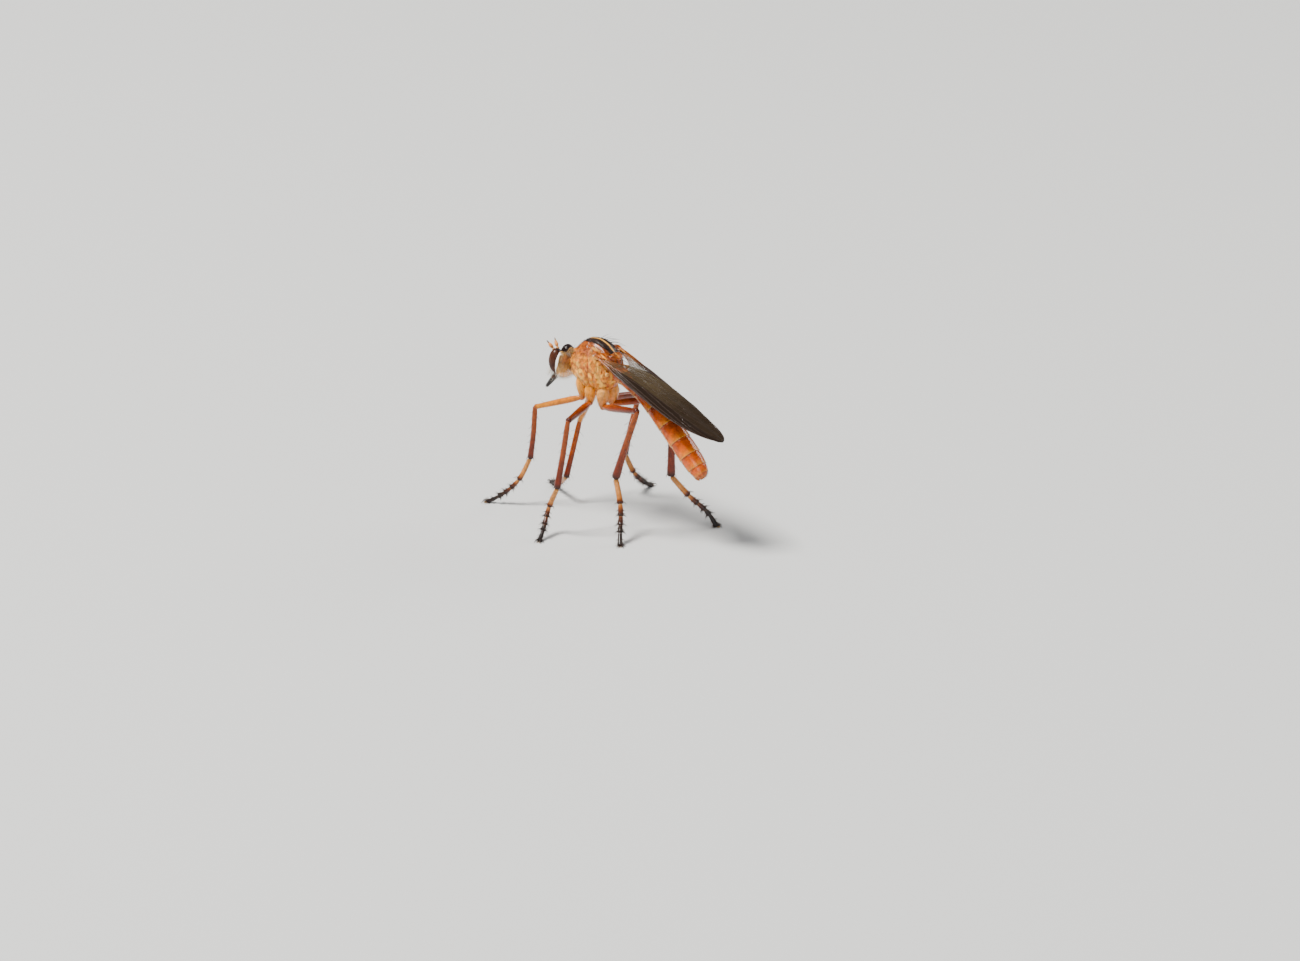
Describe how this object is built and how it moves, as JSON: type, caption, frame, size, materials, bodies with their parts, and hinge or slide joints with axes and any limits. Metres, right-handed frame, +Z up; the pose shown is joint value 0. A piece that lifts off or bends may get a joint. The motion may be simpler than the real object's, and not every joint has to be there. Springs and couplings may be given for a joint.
{
  "type": "robber fly",
  "caption": "Life-size still model of a slender orange robber fly, standing on its feet with its smoky wings folded over a long banded abdomen.",
  "frame": {"origin": "middle of the footprint on the floor, at the level of the undersides of the feet", "axes": "+Z up; the fly faces -X and its left side is -Y"},
  "size_m": [0.036, 0.026, 0.0247],
  "materials": {
    "cuticle_orange": "glossy orange shell with a dusting of pale hair",
    "cuticle_rust": "glossy red-brown shell",
    "cuticle_tan": "dull tan shell under fine pale dust",
    "cuticle_black": "shiny black-brown shell",
    "eye": "dark faceted eye with a purple-brown sheen",
    "wing": "thin smoky membrane, see-through between dark veins"
  },
  "bodies": {
    "root": {"head": "cuticle_tan", "neck": "cuticle_tan", "thorax": "cuticle_orange", "scutellum": "cuticle_orange", "eye_left": "eye", "antenna_left": "cuticle_orange", "wing_left": "wing", "haltere_left": "cuticle_tan", "eye_right": "eye", "antenna_right": "cuticle_orange", "wing_right": "wing", "haltere_right": "cuticle_tan", "proboscis": "cuticle_black", "abdomen_1": "cuticle_orange", "abdomen_2": "cuticle_orange", "abdomen_3": "cuticle_rust", "abdomen_4": "cuticle_rust", "abdomen_5": "cuticle_rust", "abdomen_6": "cuticle_rust", "abdomen_7": "cuticle_rust", "abdomen_tip": "cuticle_rust", "coxa_front_left": "cuticle_tan", "femur_front_left": "cuticle_orange", "tibia_front_left": "cuticle_rust", "tarsus_front_left": "cuticle_black", "coxa_front_right": "cuticle_tan", "femur_front_right": "cuticle_orange", "tibia_front_right": "cuticle_rust", "tarsus_front_right": "cuticle_black", "coxa_mid_left": "cuticle_tan", "femur_mid_left": "cuticle_orange", "tibia_mid_left": "cuticle_rust", "tarsus_mid_left": "cuticle_black", "coxa_mid_right": "cuticle_tan", "femur_mid_right": "cuticle_orange", "tibia_mid_right": "cuticle_rust", "tarsus_mid_right": "cuticle_black", "coxa_hind_left": "cuticle_tan", "femur_hind_left": "cuticle_orange", "tibia_hind_left": "cuticle_rust", "tarsus_hind_left": "cuticle_black", "coxa_hind_right": "cuticle_tan", "femur_hind_right": "cuticle_orange", "tibia_hind_right": "cuticle_rust", "tarsus_hind_right": "cuticle_black"}
  },
  "joints": []
}
